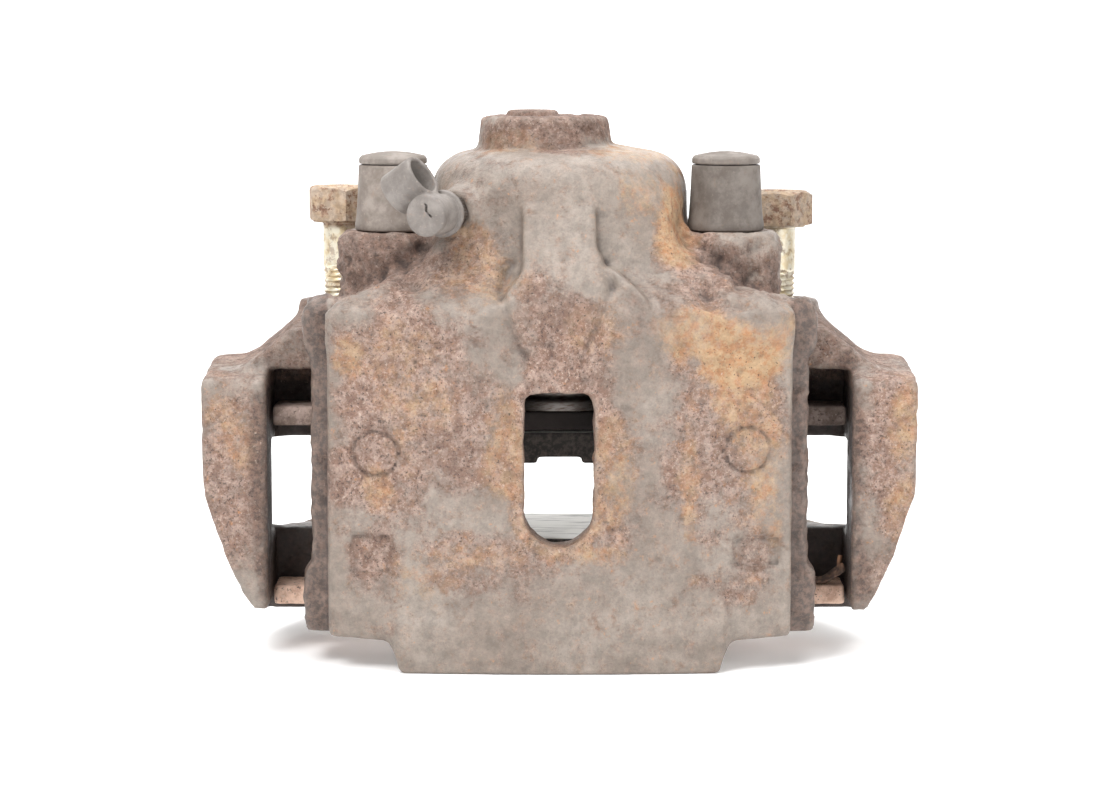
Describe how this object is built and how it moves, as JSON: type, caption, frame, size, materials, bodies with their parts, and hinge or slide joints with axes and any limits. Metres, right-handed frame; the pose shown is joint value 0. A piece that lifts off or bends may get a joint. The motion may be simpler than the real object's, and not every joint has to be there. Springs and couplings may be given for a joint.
{
  "type": "floating disc brake caliper",
  "caption": "Worn floating brake caliper with its piston, pads, guide bushes, bleed screw and carrier bracket, standing on its outboard fingers.",
  "frame": {"origin": "on the piston axis, in the plane of the outboard finger faces that the caliper stands on", "axes": "+Z along the piston axis towards the inboard side, -Y radially away from the wheel hub, X along the rim of the disc"},
  "size_m": [0.202, 0.0955, 0.1547],
  "materials": {
    "cast_iron": "rusty as-cast iron, brown-grey with orange patches",
    "rusty_plate": "rust-covered steel plate",
    "friction": "worn brake lining",
    "rubber": "dusty grey rubber",
    "cap_plastic": "dusty moulded plastic",
    "zinc_steel": "yellow zinc plate, rusting",
    "steel": "machined steel"
  },
  "bodies": {
    "housing": {"caliper_housing": "cast_iron", "guide_bush_left": "rubber", "guide_bush_right": "rubber", "piston_seal": "rubber", "piston_dust_boot": "rubber"},
    "carrier": {"carrier_bracket": "cast_iron", "guide_pin_left": "steel", "guide_pin_right": "steel"},
    "piston": {"piston": "steel", "inner_pad_clip": "steel", "inner_pad_plate": "rusty_plate", "inner_pad_friction": "friction"},
    "outer_pad": {"outer_pad_plate": "rusty_plate", "outer_pad_friction": "friction", "pad_spring_remnant": "rusty_plate"},
    "bleed_screw": {"bleed_screw": "steel"},
    "bleed_cap": {"bleed_cap": "rubber"},
    "bush_cap_left": {"bush_cap_left": "cap_plastic"},
    "bush_cap_right": {"bush_cap_right": "cap_plastic"},
    "mounting_bolt_left": {"mounting_bolt_left": "zinc_steel"},
    "mounting_bolt_right": {"mounting_bolt_right": "zinc_steel"}
  },
  "joints": [
    {"name": "guide_slide", "type": "slide", "parent": "housing", "child": "carrier", "axis": [0, 0, 1], "range_m": [-0.005, 0.005]},
    {"name": "piston_slide", "type": "slide", "parent": "housing", "child": "piston", "axis": [0, 0, 1], "range_m": [-0.015, 0.005]},
    {"name": "outer_pad_slide", "type": "slide", "parent": "housing", "child": "outer_pad", "axis": [0, 0, 1], "range_m": [0, 0.005]},
    {"name": "bleed_screw_turn", "type": "hinge", "parent": "housing", "child": "bleed_screw", "pos_m": [-0.024, -0.016, 0.127], "axis": [-0.4, -0.9165, 0], "range_deg": [0, 270]},
    {"name": "bleed_cap_pull", "type": "slide", "parent": "housing", "child": "bleed_cap", "axis": [-0.4, -0.9165, 0], "range_m": [0, 0.014]},
    {"name": "bush_cap_left_pull", "type": "slide", "parent": "housing", "child": "bush_cap_left", "axis": [0, 0, 1], "range_m": [0, 0.012]},
    {"name": "bush_cap_right_pull", "type": "slide", "parent": "housing", "child": "bush_cap_right", "axis": [0, 0, 1], "range_m": [0, 0.012]},
    {"name": "bolt_left_turn", "type": "hinge", "parent": "carrier", "child": "mounting_bolt_left", "pos_m": [-0.064, 0.03, 0.1], "axis": [0, 0, 1], "range_deg": [-180, 180]},
    {"name": "bolt_right_turn", "type": "hinge", "parent": "carrier", "child": "mounting_bolt_right", "pos_m": [0.064, 0.03, 0.1], "axis": [0, 0, 1], "range_deg": [-180, 180]}
  ]
}
